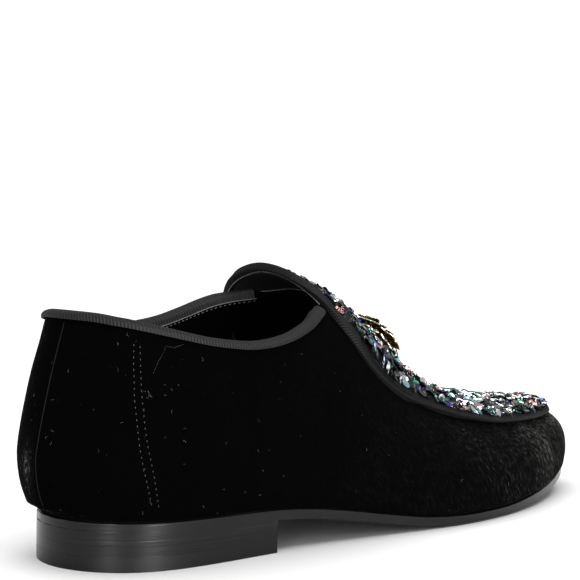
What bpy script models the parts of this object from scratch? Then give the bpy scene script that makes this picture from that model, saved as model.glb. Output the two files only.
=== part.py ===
"""Men's slip-on loafer for the right foot: velvet upper, bound plug with a tongue, stacked heel.

Metres, Z up. X runs from the back of the heel to the toe and -Y is the outer side of the foot.
Every piece is drawn from the same form, the outside of the upper on its last: a ring of
upright half sections that fan round the heel and the toe and stand square to the spine between.
"""

import math
from collections import namedtuple

import bmesh
import bpy
import numpy as np
from mathutils import Matrix, Vector
from mathutils.bvhtree import BVHTree

# Sizes of the sole and the heel
LENGTH = 0.298
BALL_WIDTH = 0.096
HEEL_WIDTH = 0.0695
TOE_SWING = 0.009  # how far the toe tip lies to the inner side of the heel's middle line
TOE_DEPTH = 0.030  # from the toe tip back to where its sections fan out
INSTEP_SWING = 0.006  # how far the instep's ridge lies to the inner side of that line
SOLE_THICKNESS = 0.0046
SOLE_ROUNDING = 0.0008
TOE_SPRING = 0.0140
HEEL_LENGTH = 0.077
HEEL_BACK_HEIGHT = 0.0136
HEEL_FRONT_HEIGHT = 0.0122
TOP_LIFT_THICKNESS = 0.005
BREAST_HOLLOW = 0.003  # how far the heel's front face is hollowed

# Sizes of the upper, heights from the sole's top
BACK_HEIGHT = 0.0735
INSTEP_HEIGHT = 0.088
CUP_SWELL = 0.0088  # how far the heel cup stands out past the sole
SWELL_HEIGHT = 0.020
SWELL_FULLNESS = 0.75  # power of the curve from foot to swell, fuller when smaller
FEATHER_INSET = 0.0012  # from the sole's edge in to the foot of the upper
WALL = 0.0020
THROAT_SHARE = 0.416  # station of the throat as a share of the length
BINDING_SHORTFALL = 0.0065  # how far the collar's binding stops short of the throat

# Sizes of the trim
TONGUE_SHARE = 0.344  # station of the tongue's free edge as a share of the length
TOE_BORDER = 0.0115  # from the plug's front end to the toe tip
VAMP_BORDER = 0.013  # what the plug's width lacks of the ball's on each side
PLUG_THICKNESS = 0.0022
PLUG_BINDING_WIDTH = 0.0038
TOPLINE_BINDING_WIDTH = 0.0033
BINDING_THICKNESS = 0.0008
BINDING_RISE = 0.0006  # how far the plug's binding stands over the plug
INSOLE_THICKNESS = 0.0020
ORNAMENT_LENGTH = 0.031
ORNAMENT_WIDTH = 0.023
ORNAMENT_HEIGHT = 0.0140
ORNAMENT_SHARE = 0.564  # station of the ornament as a share of the length
LEAF_COUNT = 12
LEAF_RELIEF = 0.0013
LEAF_NOTCH = 0.12  # how far a leaf's edge is notched, as a share of its reach
LEAF_FULLNESS = 0.5  # power of the leaf's rounding, fuller when smaller
CABOCHON_RADIUS = 0.0042
BEZEL_RIM = 0.0012

# Clearance between pieces that meet, and how far a cutter reaches past what it cuts
GAP = 0.0003
REACH = 0.03

CUT_DEPTH = 0.006  # how far a cutter square to the form reaches to each side of it
WELD_DISTANCE = 0.000003
SLOPE_RUN = 0.002  # half the run over which a slope is measured
SHARP_DEGREES = 35

# Steps of the mesh
HEEL_FAN_STEPS = 6
TOE_FAN_STEPS = 8
SPINE_STEPS = 22
SWELL_STEPS = 3
CROWN_STEPS = 10
EDGE_STEPS = 22
HEEL_EDGE_STEPS = 5
BREAST_STEPS = 8
COLLAR_STEPS = 24
PLUG_STEPS = 5
EDGE_REACH = 2  # points to each side that the plug's edge is evened over
LEAF_STEPS = 6
DOME_STEPS = 6
BEAD_SIDES = 20

# Outline of the sole: station as a share of the length, half widths as shares of a width
OutlineRow = namedtuple("OutlineRow", "station width lateral medial")
OUTLINE = [
    OutlineRow(0.016, HEEL_WIDTH, 0.240, 0.240),
    OutlineRow(0.056, HEEL_WIDTH, 0.405, 0.405),
    OutlineRow(0.130, HEEL_WIDTH, 0.492, 0.492),
    OutlineRow(0.258, HEEL_WIDTH, 0.515, 0.455),
    OutlineRow(0.380, BALL_WIDTH, 0.410, 0.315),
    OutlineRow(0.490, BALL_WIDTH, 0.455, 0.385),
    OutlineRow(0.595, BALL_WIDTH, 0.492, 0.472),
    OutlineRow(0.680, BALL_WIDTH, 0.478, 0.490),
    OutlineRow(0.780, BALL_WIDTH, 0.415, 0.455),
    OutlineRow(0.870, BALL_WIDTH, 0.310, 0.388),
    OutlineRow(0.955, BALL_WIDTH, 0.150, 0.275),
]

# Spine that the half sections start from, as shares of how far it swings to the inner side
SpineRow = namedtuple("SpineRow", "station size share")
SPINE = [
    SpineRow(0.117, INSTEP_SWING, 0.00),
    SpineRow(0.260, INSTEP_SWING, 0.55),
    SpineRow(0.380, INSTEP_SWING, 0.95),
    SpineRow(0.500, INSTEP_SWING, 1.00),
    SpineRow(0.680, INSTEP_SWING, 0.85),
    SpineRow(0.900, TOE_SWING, 0.50),
]

# Underside of the sole: the shank's heights are shares of the heel's front height and the
# toe's are shares of the toe spring, with the tread flat on the floor between them
ProfileRow = namedtuple("ProfileRow", "station size height")
UNDERSIDE = [
    ProfileRow(0.000, HEEL_BACK_HEIGHT, 1.00),
    ProfileRow(0.258, HEEL_FRONT_HEIGHT, 1.00),
    ProfileRow(0.310, HEEL_FRONT_HEIGHT, 0.90),
    ProfileRow(0.380, HEEL_FRONT_HEIGHT, 0.66),
    ProfileRow(0.460, HEEL_FRONT_HEIGHT, 0.32),
    ProfileRow(0.530, HEEL_FRONT_HEIGHT, 0.08),
    ProfileRow(0.600, HEEL_FRONT_HEIGHT, 0.00),
    ProfileRow(0.675, HEEL_FRONT_HEIGHT, 0.00),
    ProfileRow(0.760, TOE_SPRING, 0.10),
    ProfileRow(0.860, TOE_SPRING, 0.30),
    ProfileRow(0.940, TOE_SPRING, 0.61),
    ProfileRow(1.000, TOE_SPRING, 1.00),
]

# Sections of the form. Swells are shares of the cup's, the swell's height is a share of
# SWELL_HEIGHT, the ridge is a share of the instep's height, and a shoulder is the share of
# the rise from swell to ridge that is reached where the wall has come in to SHOULDER_WIDTH
SHOULDER_WIDTH = 0.7
SectionRow = namedtuple("SectionRow", "station lateral_swell medial_swell swell_height "
                        "lateral_shoulder medial_shoulder ridge")
SECTIONS = [
    SectionRow(0.000, 1.00, 1.00, 1.00, 0.55, 0.55, 1.30),
    SectionRow(0.117, 0.60, 0.60, 1.05, 0.78, 0.78, 1.28),
    SectionRow(0.260, 0.48, 0.58, 1.10, 0.84, 0.84, 1.18),
    SectionRow(0.345, 0.42, 0.88, 1.00, 0.82, 0.87, 1.014),
    SectionRow(0.415, 0.40, 0.88, 0.88, 0.76, 0.82, 0.975),
    SectionRow(0.475, 0.38, 0.70, 0.78, 0.64, 0.73, 0.890),
    SectionRow(0.545, 0.34, 0.46, 0.68, 0.60, 0.69, 0.730),
    SectionRow(0.600, 0.32, 0.35, 0.60, 0.65, 0.69, 0.600),
    SectionRow(0.680, 0.28, 0.30, 0.48, 0.75, 0.74, 0.485),
    SectionRow(0.790, 0.26, 0.27, 0.38, 0.76, 0.75, 0.410),
    SectionRow(0.900, 0.22, 0.24, 0.30, 0.77, 0.77, 0.320),
    SectionRow(1.000, 0.20, 0.20, 0.28, 0.75, 0.75, 0.240),
]

# Top edge of the upper: heights from the sole's top as shares of a height
ToplineRow = namedtuple("ToplineRow", "station size lateral medial")
TOPLINE = [
    ToplineRow(-0.030, BACK_HEIGHT, 1.015, 1.015),
    ToplineRow(0.010, BACK_HEIGHT, 1.000, 1.000),
    ToplineRow(0.080, BACK_HEIGHT, 0.930, 0.950),
    ToplineRow(0.150, BACK_HEIGHT, 0.870, 0.912),
    ToplineRow(0.200, BACK_HEIGHT, 0.852, 0.890),
    ToplineRow(0.250, BACK_HEIGHT, 0.873, 0.918),
    ToplineRow(0.300, INSTEP_HEIGHT, 0.788, 0.825),
    ToplineRow(0.350, INSTEP_HEIGHT, 0.873, 0.902),
    ToplineRow(0.420, INSTEP_HEIGHT, 0.977, 0.981),
]
TOPLINE_SPREAD = 0.037  # half width at which the two heights of the top edge are given

# Outline of the plug from the tongue's edge: stations and half widths as shares of its own
PlugRow = namedtuple("PlugRow", "station lateral medial")
PLUG = [
    PlugRow(0.006, 0.20, 0.19),
    PlugRow(0.030, 0.42, 0.38),
    PlugRow(0.060, 0.55, 0.43),
    PlugRow(0.110, 0.61, 0.445),
    PlugRow(0.230, 0.61, 0.45),
    PlugRow(0.400, 0.605, 0.455),
    PlugRow(0.560, 0.590, 0.46),
    PlugRow(0.700, 0.525, 0.43),
    PlugRow(0.840, 0.400, 0.36),
    PlugRow(0.950, 0.250, 0.24),
]

# Rings of the ornament's boss from its foot: reach as a share of the ornament's plan, rise as a
# share of the crown under the bead, and how deep the leaves are cut
BossRow = namedtuple("BossRow", "reach rise scallop")
BOSS = [
    BossRow(0.95, 0.00, 1.00),
    BossRow(1.00, 0.16, 1.00),
    BossRow(0.93, 0.46, 0.90),
    BossRow(0.78, 0.60, 0.60),
    BossRow(0.72, 0.58, 0.70),
    BossRow(0.74, 0.78, 1.00),
    BossRow(0.63, 0.92, 0.70),
    BossRow(0.54, 0.96, 0.00),
]

Finish = namedtuple("Finish", "colour roughness metallic")
BLACK_VELVET = Finish((0.010, 0.010, 0.011), 0.90, 0.0)
BLACK_RIBBON = Finish((0.022, 0.022, 0.024), 0.75, 0.0)
SEQUINS = Finish((0.16, 0.24, 0.30), 0.30, 0.6)
BURNISHED_LEATHER = Finish((0.013, 0.013, 0.014), 0.28, 0.0)
BLACK_RUBBER = Finish((0.015, 0.015, 0.016), 0.50, 0.0)
LINING_LEATHER = Finish((0.018, 0.018, 0.018), 0.60, 0.0)
ANTIQUE_BRASS = Finish((0.36, 0.27, 0.14), 0.35, 1.0)
BLACK_BEAD = Finish((0.012, 0.012, 0.014), 0.06, 0.0)


def smooth(stations, values, at):
    """Values on a smooth line through the rows, which never passes beyond them."""
    stations = np.asarray(stations, float)
    values = np.asarray(values, float)
    gaps = np.diff(stations)
    slopes = np.diff(values) / gaps
    tangents = np.zeros(len(values))
    tangents[0], tangents[-1] = slopes[0], slopes[-1]
    before, after = slopes[:-1], slopes[1:]
    same_way = before * after > 0
    mean = 2 * before * after / np.where(same_way, before + after, 1)
    tangents[1:-1] = np.where(same_way, mean, 0)
    at = np.clip(np.asarray(at, float), stations[0], stations[-1])
    row = np.clip(np.searchsorted(stations, at, side="right") - 1, 0, len(gaps) - 1)
    t = (at - stations[row]) / gaps[row]
    start = values[row] * (1 + 2 * t) * (1 - t) ** 2 + tangents[row] * gaps[row] * t * (1 - t) ** 2
    end = values[row + 1] * t**2 * (3 - 2 * t) + tangents[row + 1] * gaps[row] * t**2 * (t - 1)
    return start + end


def closed_curve(points, steps):
    """A smooth closed curve through the points, with this many steps between each two."""
    points = np.asarray(points, float)
    count = len(points)
    gaps = np.linalg.norm(np.roll(points, -1, axis=0) - points, axis=1)
    system = np.zeros((count, count))
    pull = np.zeros((count, 2))
    for i in range(count):
        before, after = gaps[i - 1], gaps[i]
        following = (i + 1) % count
        system[i, i - 1] = after
        system[i, i] = 2 * (before + after)
        system[i, following] = before
        rise = after * (points[i] - points[i - 1]) / before
        pull[i] = 3 * (rise + before * (points[following] - points[i]) / after)
    slopes = np.linalg.solve(system, pull)
    t = np.linspace(0, 1, steps, endpoint=False)[:, None]
    curve = []
    for i in range(count):
        following = (i + 1) % count
        start = points[i] * (1 + 2 * t) * (1 - t) ** 2 + slopes[i] * gaps[i] * t * (1 - t) ** 2
        end = points[following] * t**2 * (3 - 2 * t) + slopes[following] * gaps[i] * t**2 * (t - 1)
        curve.append(start + end)
    return np.concatenate(curve)


def column(rows, name):
    return [getattr(row, name) for row in rows]


def underside(x):
    """Height of the sole's underside over the floor."""
    heights = [row.size * row.height for row in UNDERSIDE]
    return smooth([row.station * LENGTH for row in UNDERSIDE], heights, x)


def sole_top(x):
    return underside(x) + SOLE_THICKNESS


def section_value(name, x):
    return smooth([row.station * LENGTH for row in SECTIONS], column(SECTIONS, name), x)


def ridge_height(x):
    return sole_top(x) + INSTEP_HEIGHT * section_value("ridge", x)


def ridge_slope(x):
    rise = float(ridge_height(x + SLOPE_RUN) - ridge_height(x - SLOPE_RUN))
    return rise / (2 * SLOPE_RUN)


def spine_swing(x):
    swings = [row.size * row.share for row in SPINE]
    return smooth([row.station * LENGTH for row in SPINE], swings, x)


def sole_outline(steps):
    lateral = [(row.station * LENGTH, -row.lateral * row.width) for row in OUTLINE]
    medial = [(row.station * LENGTH, row.medial * row.width) for row in reversed(OUTLINE)]
    return closed_curve([(0, 0), *lateral, (LENGTH, TOE_SWING), *medial], steps)


def spine():
    """The middle line from the heel's centre to the toe's, as points in plan."""
    x = np.linspace(HEEL_WIDTH / 2, LENGTH - TOE_DEPTH, SPINE_STEPS + 1)
    return np.stack([x, spine_swing(x)], axis=1)


def turned(angle):
    return np.array([math.cos(angle), math.sin(angle)])


def section_planes():
    """Centre and heading of each half section, once round the shoe from the back."""
    line = spine()
    quarter = math.pi / 2
    planes = []
    for step in range(HEEL_FAN_STEPS):
        planes.append((line[0], turned(math.pi + quarter * step / HEEL_FAN_STEPS)))
    planes += [(centre, turned(-quarter)) for centre in line]
    for step in range(1, 2 * TOE_FAN_STEPS):
        planes.append((line[-1], turned(-quarter + quarter * step / TOE_FAN_STEPS)))
    planes += [(centre, turned(quarter)) for centre in line[::-1]]
    for step in range(1, HEEL_FAN_STEPS):
        planes.append((line[0], turned(quarter + quarter * step / HEEL_FAN_STEPS)))
    return planes


def reach_of(outline, centre, heading):
    """Distance from the centre to the outline along the heading."""
    along = (outline - centre) @ heading
    across = (outline - centre) @ np.array([-heading[1], heading[0]])
    crossing = (across * np.roll(across, -1) <= 0) & (along > 0)
    i = int(np.flatnonzero(crossing)[0])
    following = (i + 1) % len(outline)
    share = across[i] / (across[i] - across[following])
    return along[i] * (1 - share) + along[following] * share


def wall_profile(edge_x, centre_x, side, half_width, grow):
    """Distances out from the spine and heights of one half section, from foot to ridge."""
    swell = CUP_SWELL * section_value(side + "_swell", edge_x)
    widest = half_width + swell
    foot = half_width - FEATHER_INSET
    base = float(sole_top(edge_x)) + GAP
    waist = base + SWELL_HEIGHT * section_value("swell_height", edge_x)
    crown = float(ridge_height(centre_x))
    shoulder = section_value(side + "_shoulder", edge_x)
    power = math.log(shoulder) / math.log(math.sqrt(1 - SHOULDER_WIDTH**2))
    low = np.linspace(0, math.pi / 2, SWELL_STEPS + 1)[:-1]
    high = np.linspace(0, math.pi / 2, CROWN_STEPS + 1)
    out = np.concatenate([foot + (widest - foot) * np.sin(low) ** SWELL_FULLNESS, widest * np.cos(high)])
    up = np.concatenate([waist - (waist - base) * np.cos(low),
                         waist + (crown - waist) * np.sin(high) ** power])
    along = np.stack([np.gradient(out), np.gradient(up)], axis=1)
    along[-1] = (-1, 0)
    along /= np.linalg.norm(along, axis=1)[:, None]
    out = out + grow * along[:, 1]
    up = up - grow * along[:, 0] * math.hypot(1, ridge_slope(centre_x))
    out[-1] = 0
    return out, up


def ring_mesh(name, sections):
    """A closed mesh from half sections that all start and end on the spine."""
    mesh = bpy.data.meshes.new(name)
    build = bmesh.new()
    rings = []
    for centre, heading, out, up in sections:
        ring = []
        for distance, height in zip(out, up):
            x, y = centre + heading * distance
            ring.append(build.verts.new((x, y, height)))
        rings.append(ring)
    for ring, following in zip(rings, rings[1:] + rings[:1]):
        for low, high in zip(range(len(ring) - 1), range(1, len(ring))):
            build.faces.new((ring[low], following[low], following[high], ring[high]))
    bmesh.ops.remove_doubles(build, verts=build.verts, dist=WELD_DISTANCE)
    bmesh.ops.recalc_face_normals(build, faces=build.faces)
    bmesh.ops.triangulate(build, faces=build.faces, quad_method="FIXED")
    build.to_mesh(mesh)
    build.free()
    return mesh


def plan_sections(profile):
    """Half sections round the shoe; profile(edge_x, centre_x, side, half_width) gives each."""
    outline = sole_outline(EDGE_STEPS)
    sections = []
    for centre, heading in section_planes():
        half_width = reach_of(outline, centre, heading)
        edge_x = centre[0] + heading[0] * half_width
        side = "lateral" if heading[1] <= 0 else "medial"
        sections.append((centre, heading, *profile(edge_x, centre[0], side, half_width)))
    return sections


def form_mesh(name, grow, drop=0.0):
    """The form of the upper, grown outwards, its flat foot lowered by the drop."""

    def profile(edge_x, centre_x, side, half_width):
        out, up = wall_profile(edge_x, centre_x, side, half_width, grow)
        foot = float(sole_top(edge_x)) + GAP - drop
        middle = float(sole_top(centre_x)) + GAP - drop
        if drop:
            return np.array([0, out[0], *out]), np.array([middle, foot, *up])
        return np.array([0, *out]), np.array([middle, *up])

    return ring_mesh(name, plan_sections(profile))


def plate_mesh(name, bottom, thickness, inset, rounding):
    """A plate that follows the sole: bottom(x) is its underside, its edge drawn in by the inset."""

    def profile(edge_x, centre_x, side, half_width):
        edge = half_width - inset
        low, middle = float(bottom(edge_x)), float(bottom(centre_x))
        out = [0, edge - rounding, edge, edge, edge - rounding, 0]
        up = [middle, low, low + rounding, low + thickness - rounding, low + thickness,
              middle + thickness]
        return np.array(out), np.array(up)

    return ring_mesh(name, plan_sections(profile))


def prism_mesh(name, low_points, high_points):
    """A closed mesh between two loops with as many points, capped at both ends."""
    mesh = bpy.data.meshes.new(name)
    build = bmesh.new()
    low = [build.verts.new(point) for point in low_points]
    high = [build.verts.new(point) for point in high_points]
    build.faces.new(low)
    build.faces.new(high)
    for i in range(len(low)):
        following = (i + 1) % len(low)
        build.faces.new((low[i], low[following], high[following], high[i]))
    bmesh.ops.recalc_face_normals(build, faces=build.faces)
    bmesh.ops.triangulate(build, faces=build.faces, quad_method="FIXED")
    build.to_mesh(mesh)
    build.free()
    return mesh


def sleeve_mesh(name, loops):
    """A closed mesh through loops with as many points, its ends closed by rungs across them."""
    mesh = bpy.data.meshes.new(name)
    build = bmesh.new()
    rings = [[build.verts.new(point) for point in loop] for loop in loops]
    count = len(rings[0])
    for ring, following in zip(rings, rings[1:]):
        for i in range(count):
            j = (i + 1) % count
            build.faces.new((ring[i], ring[j], following[j], following[i]))
    for ring in (rings[0], rings[-1]):
        for i in range(1, count // 2 - 1):
            build.faces.new((ring[i], ring[i + 1], ring[count - i - 1], ring[count - i]))
        build.faces.new((ring[0], ring[1], ring[-1]))
        build.faces.new((ring[count // 2], ring[count // 2 - 1], ring[count // 2 + 1]))
    bmesh.ops.recalc_face_normals(build, faces=build.faces)
    bmesh.ops.triangulate(build, faces=build.faces, quad_method="FIXED")
    build.to_mesh(mesh)
    build.free()
    return mesh


def topline_height(x, y):
    """Height of the collar's edge over the floor, higher on the inner side."""
    stations = [row.station * LENGTH for row in TOPLINE]
    lateral = smooth(stations, [row.size * row.lateral for row in TOPLINE], x)
    medial = smooth(stations, [row.size * row.medial for row in TOPLINE], x)
    share = (1 + y / TOPLINE_SPREAD) / 2
    return sole_top(max(x, 0)) + lateral * (1 - share) + medial * share


def collar_mesh(name, below, above, front):
    """A slab over the collar's edge, from below it to above it, that ends at the front.

    Every slab takes its heights at the same stations, so that their faces stay parallel.
    """
    stations = np.linspace(-REACH, THROAT_SHARE * LENGTH, COLLAR_STEPS + 1)
    kept = [x for x in stations if x < front - GAP] + [front]
    loops = []
    for y in (-BALL_WIDTH, BALL_WIDTH):
        line = np.interp(kept, stations, [topline_height(x, y) for x in stations])
        lower = [(x, y, height - below) for x, height in zip(kept, line)]
        upper = [(x, y, height + above) for x, height in zip(kept, line)]
        loops.append(lower + upper[::-1])
    return prism_mesh(name, *loops)


def evened(values):
    """Rows of a closed loop, each the mean of its neighbourhood."""
    near = range(-EDGE_REACH, EDGE_REACH + 1)
    return sum(np.roll(values, shift, axis=0) for shift in near) / len(near)


def unit(vectors):
    return vectors / np.linalg.norm(vectors, axis=1)[:, None]


def plug_edge():
    """The plug's edge where it lies on the form, and the form's normals along it."""

    back = TONGUE_SHARE * LENGTH
    front = LENGTH - TOE_BORDER
    width = BALL_WIDTH - 2 * VAMP_BORDER

    def side_points(rows, side, sign):
        points = []
        for row in rows:
            x = back + row.station * (front - back)
            points.append((x, float(spine_swing(x)) + sign * getattr(row, side) * width))
        return points

    ends = [(x, float(spine_swing(x))) for x in (back, front)]
    sides = side_points(PLUG, "lateral", -1), side_points(PLUG[::-1], "medial", 1)
    plan = closed_curve([ends[0], *sides[0], ends[1], *sides[1]], PLUG_STEPS)
    form = form_mesh("plug_form", 0)
    corners = [vertex.co for vertex in form.vertices]
    tree = BVHTree.FromPolygons(corners, [face.vertices for face in form.polygons])
    hits = [tree.ray_cast(Vector((x, y, LENGTH)), Vector((0, 0, -1))) for x, y in plan]
    bpy.data.meshes.remove(form)
    edge = evened(np.array([hit[0] for hit in hits]))
    edge[:, :2] = plan
    return edge, unit(evened(np.array([hit[1] for hit in hits])))


def plug_cutter(name, inset):
    """A body over the plug, its sides square to the form and drawn in by the inset."""
    edge, normals = plug_edge()
    along = unit(np.roll(edge, -1, axis=0) - np.roll(edge, 1, axis=0))
    inward = unit(np.cross(normals, along))
    edge = edge + inward * inset
    deep = edge - normals * CUT_DEPTH
    proud = edge + normals * CUT_DEPTH
    top = proud.copy()
    top[:, 2] = LENGTH / 2
    return sleeve_mesh(name, [deep, proud, top])


def heel_outline():
    """Plan of the heel: the sole's outline back of a hollowed breast."""
    edge = sole_outline(HEEL_EDGE_STEPS)
    corner = HEEL_LENGTH
    sides = [point for point in edge if point[0] < corner - GAP]
    turn = next(i for i, (a, b) in enumerate(zip(sides, sides[1:])) if b[1] - a[1] > HEEL_WIDTH / 2)
    planes = [reach_of(edge, np.array([corner, 0.0]), turned(side * math.pi / 2)) for side in (-1, 1)]
    breast = []
    for share in np.linspace(0, 1, BREAST_STEPS + 1):
        y = -planes[0] * (1 - share) + planes[1] * share
        breast.append((corner - BREAST_HOLLOW * math.sin(math.pi * share), y))
    return np.array([*sides[:turn + 1], *breast, *sides[turn + 1:]])


def lift_mesh(name, low, high):
    """One layer of the heel; low and high give its faces' heights at a station."""
    plan = heel_outline()
    return prism_mesh(name, [(x, y, low(x)) for x, y in plan], [(x, y, high(x)) for x, y in plan])


def material(name, finish):
    made = bpy.data.materials.new(name)
    made.use_nodes = True
    shader = made.node_tree.nodes["Principled BSDF"]
    shader.inputs["Base Color"].default_value = (*finish.colour, 1)
    shader.inputs["Roughness"].default_value = finish.roughness
    shader.inputs["Metallic"].default_value = finish.metallic
    made.diffuse_color = (*finish.colour, 1)
    return made


def add_piece(mesh, finish, root):
    """A visible piece of the shoe with its own material."""
    piece = bpy.data.objects.new(mesh.name, mesh)
    mesh.materials.append(material(mesh.name, finish))
    mesh.shade_smooth()
    mesh.set_sharp_from_angle(angle=math.radians(SHARP_DEGREES))
    bpy.context.scene.collection.objects.link(piece)
    piece.parent = root
    return piece


def add_cutter(mesh, root):
    cutter = bpy.data.objects.new(mesh.name, mesh)
    bpy.context.scene.collection.objects.link(cutter)
    cutter.parent = root
    cutter.hide_render = True
    cutter.display_type = "WIRE"
    return cutter


def cut(piece, operation, other):
    modifier = piece.modifiers.new(operation.title() + " " + other.name, "BOOLEAN")
    modifier.operation = operation
    modifier.solver = "EXACT"
    modifier.object = other


def add_sole(root):
    add_piece(plate_mesh("outsole", underside, SOLE_THICKNESS, 0, SOLE_ROUNDING), BURNISHED_LEATHER, root)


def add_heel(root):
    """A rubber top lift and two leather lifts, each a gap under the next."""

    def ledge(share):
        def height(x):
            stack = float(underside(x)) - GAP - TOP_LIFT_THICKNESS
            return TOP_LIFT_THICKNESS + stack * share
        return height

    def raised(height):
        return lambda x: height(x) + GAP

    add_piece(lift_mesh("heel_top_lift", lambda x: 0.0, ledge(0)), BLACK_RUBBER, root)
    add_piece(lift_mesh("heel_lift_lower", raised(ledge(0)), ledge(0.5)), BURNISHED_LEATHER, root)
    add_piece(lift_mesh("heel_lift_upper", raised(ledge(0.5)), ledge(1)), BURNISHED_LEATHER, root)


def add_upper(root):
    """The velvet upper: a wall open at the collar and underneath."""
    upper = add_piece(form_mesh("upper", 0), BLACK_VELVET, root)
    cut(upper, "DIFFERENCE", add_cutter(form_mesh("upper_inside", -WALL, REACH / 2), root))
    fold = GAP + BINDING_THICKNESS
    opening = collar_mesh("collar_opening", fold, INSTEP_HEIGHT, THROAT_SHARE * LENGTH)
    cut(upper, "DIFFERENCE", add_cutter(opening, root))


def add_insole(root):
    inset = FEATHER_INSET + WALL + 2 * GAP

    def seat(x):
        return sole_top(x) + GAP

    insole = plate_mesh("insole", seat, INSOLE_THICKNESS, inset, SOLE_ROUNDING / 2)
    add_piece(insole, LINING_LEATHER, root)


def add_plug(root):
    """The sequined plug and its tongue in one panel, inside a ribbon binding."""
    bed = add_cutter(form_mesh("plug_bed", GAP, REACH / 2), root)
    plug = add_piece(form_mesh("plug", GAP + PLUG_THICKNESS), SEQUINS, root)
    cut(plug, "INTERSECT", add_cutter(plug_cutter("plug_shape", PLUG_BINDING_WIDTH + GAP), root))
    cut(plug, "DIFFERENCE", bed)
    binding = form_mesh("plug_binding", GAP + PLUG_THICKNESS + BINDING_RISE)
    binding = add_piece(binding, BLACK_RIBBON, root)
    cut(binding, "INTERSECT", add_cutter(plug_cutter("binding_outer_edge", 0), root))
    cut(binding, "DIFFERENCE", add_cutter(plug_cutter("binding_inner_edge", PLUG_BINDING_WIDTH), root))
    cut(binding, "DIFFERENCE", bed)


def add_topline_binding(root):
    """Ribbon folded over the collar's edge, its outer leg stopping short of the plug."""
    fold = GAP + BINDING_THICKNESS
    band = add_piece(form_mesh("topline_binding", fold), BLACK_RIBBON, root)
    end = THROAT_SHARE * LENGTH - BINDING_SHORTFALL
    seat = add_cutter(plug_cutter("binding_plug_seat", -GAP), root)
    cut(seat, "DIFFERENCE", add_cutter(form_mesh("plug_underside", 0, REACH / 2), root))
    cut(band, "DIFFERENCE", seat)
    cut(band, "INTERSECT", add_cutter(collar_mesh("binding_band", TOPLINE_BINDING_WIDTH, 0, end), root))
    inner = form_mesh("binding_inner_leg", -WALL - fold, REACH / 2)
    cut(band, "DIFFERENCE", add_cutter(inner, root))
    core = add_cutter(form_mesh("binding_core", GAP), root)
    cut(core, "DIFFERENCE", add_cutter(form_mesh("core_inside", -WALL - GAP, REACH / 2), root))
    above = collar_mesh("core_top", BINDING_THICKNESS, INSTEP_HEIGHT, end + GAP)
    cut(core, "DIFFERENCE", add_cutter(above, root))
    cut(band, "DIFFERENCE", core)


def polar_mesh(name, rows, steps, place):
    """A closed body from rings round an axis: each row gives the ring's point at an angle."""
    mesh = bpy.data.meshes.new(name)
    build = bmesh.new()
    rings = [[build.verts.new(place @ Vector(row(2 * math.pi * i / steps))) for i in range(steps)]
             for row in rows]
    for ring, following in zip(rings, rings[1:]):
        for i in range(steps):
            j = (i + 1) % steps
            build.faces.new((ring[i], ring[j], following[j], following[i]))
    build.faces.new(rings[0])
    build.faces.new(rings[-1])
    bmesh.ops.recalc_face_normals(build, faces=build.faces)
    build.to_mesh(mesh)
    build.free()
    return mesh


def ornament_place():
    """Frame of the ornament: its middle on the plug's top, its length along the slope."""
    station = ORNAMENT_SHARE * LENGTH
    top = GAP + PLUG_THICKNESS
    tilt = math.atan(ridge_slope(station))
    height = float(ridge_height(station)) + top / math.cos(tilt)
    middle = Matrix.Translation((station, float(spine_swing(station)), height))
    return middle @ Matrix.Rotation(-tilt, 4, "Y")


def oval(angle, share, height):
    x = share * ORNAMENT_LENGTH / 2 * math.cos(angle)
    y = share * ORNAMENT_WIDTH / 2 * math.sin(angle)
    return (x, y, height)


def leaf_ring(row, rise):
    """A ring of the rosette, scalloped into leaves as deep as the row says."""

    def point(angle):
        lobe = abs(math.cos(LEAF_COUNT * angle / 2)) ** LEAF_FULLNESS
        drop = (1 - lobe) * row.scallop
        return oval(angle, row.reach * (1 - LEAF_NOTCH * drop), rise - LEAF_RELIEF * drop)

    return point


def circle(radius, height):
    return lambda angle: (radius * math.cos(angle), radius * math.sin(angle), height)


def add_ornament(root):
    """A brass boss: rows of overlapping leaves round a bezel that holds a black bead."""
    place = ornament_place()
    crown = ORNAMENT_HEIGHT - CABOCHON_RADIUS
    rings = [leaf_ring(BOSS[0], -ORNAMENT_HEIGHT / 2)]
    rings += [leaf_ring(row, row.rise * crown) for row in BOSS]
    seat = CABOCHON_RADIUS + GAP
    floor = crown - CABOCHON_RADIUS
    rings += [circle(seat + BEZEL_RIM, BOSS[-1].rise * crown), circle(seat + BEZEL_RIM, crown + BEZEL_RIM / 2),
              circle(seat, crown + BEZEL_RIM / 2), circle(seat, floor)]
    boss = add_piece(polar_mesh("ornament_boss", rings, LEAF_STEPS * LEAF_COUNT, place), ANTIQUE_BRASS, root)
    bed = add_cutter(form_mesh("ornament_bed", 2 * GAP + PLUG_THICKNESS, REACH / 2), root)
    cut(boss, "DIFFERENCE", bed)
    dome = [circle(CABOCHON_RADIUS, floor + GAP)]
    for angle in np.linspace(0, math.pi / 2, DOME_STEPS, endpoint=False):
        dome.append(circle(CABOCHON_RADIUS * math.cos(angle), crown + CABOCHON_RADIUS * math.sin(angle)))
    add_piece(polar_mesh("ornament_cabochon", dome, BEAD_SIDES, place), BLACK_BEAD, root)


def build_shoe():
    for obj in list(bpy.data.objects):
        bpy.data.objects.remove(obj, do_unlink=True)
    root = bpy.data.objects.new("shoe", None)
    bpy.context.scene.collection.objects.link(root)
    root.location.x = -HEEL_LENGTH / 2
    add_sole(root)
    add_heel(root)
    add_upper(root)
    add_insole(root)
    add_plug(root)
    add_topline_binding(root)
    add_ornament(root)


build_shoe()
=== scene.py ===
import math
import random
from bisect import bisect_left
from collections import namedtuple

import bpy
from mathutils import Matrix, Vector
from mathutils.bvhtree import BVHTree


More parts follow.
